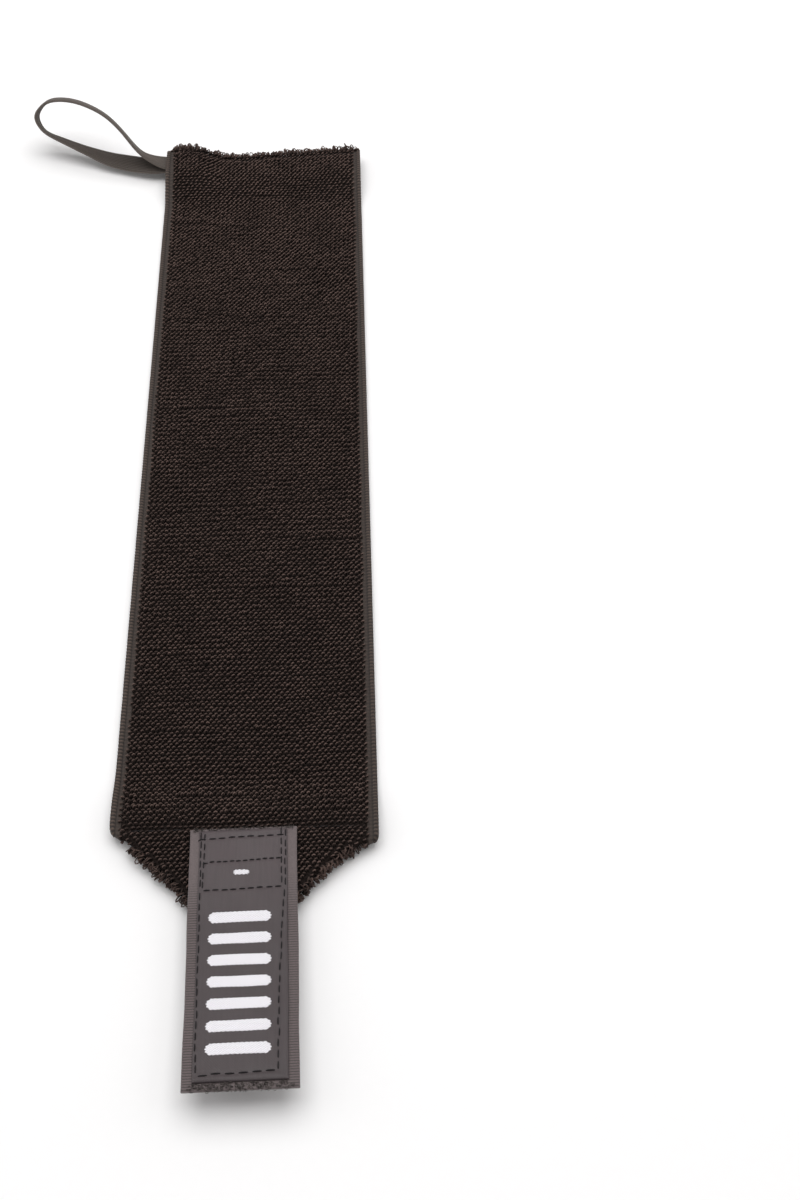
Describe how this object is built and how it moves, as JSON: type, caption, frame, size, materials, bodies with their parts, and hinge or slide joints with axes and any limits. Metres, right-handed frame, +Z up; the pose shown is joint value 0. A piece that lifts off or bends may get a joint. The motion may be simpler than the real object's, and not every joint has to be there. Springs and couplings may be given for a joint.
{
  "type": "wrist wrap",
  "caption": "Lifting wrist wrap lying open: a terry elastic band with folded corners and a hem, a thumb loop of narrow elastic, and a hook tape tab with a woven label.",
  "frame": {"origin": "middle of the band's resting face, halfway between the crease of the folded corners and the hem", "axes": "+X across the band, away from the thumb loop; +Y along the band toward the hem and the thumb loop; +Z up out of the loop pile"},
  "size_m": [0.1277, 0.4158, 0.0244],
  "materials": {
    "terry": "brown-black uncut nylon loop pile on a ribbed elastic ground",
    "webbing": "dark grey-brown narrow flat elastic with fine lengthwise ribs",
    "hook_tape": "dark grey woven nylon tape with black hooks below",
    "label": "satin-woven dark grey label with white woven bars",
    "thread": "black sewing thread"
  },
  "bodies": {
    "root": {"terry_band": "terry", "thumb_loop": "webbing", "hook_tab": "hook_tape", "woven_label": "label"}
  },
  "joints": []
}
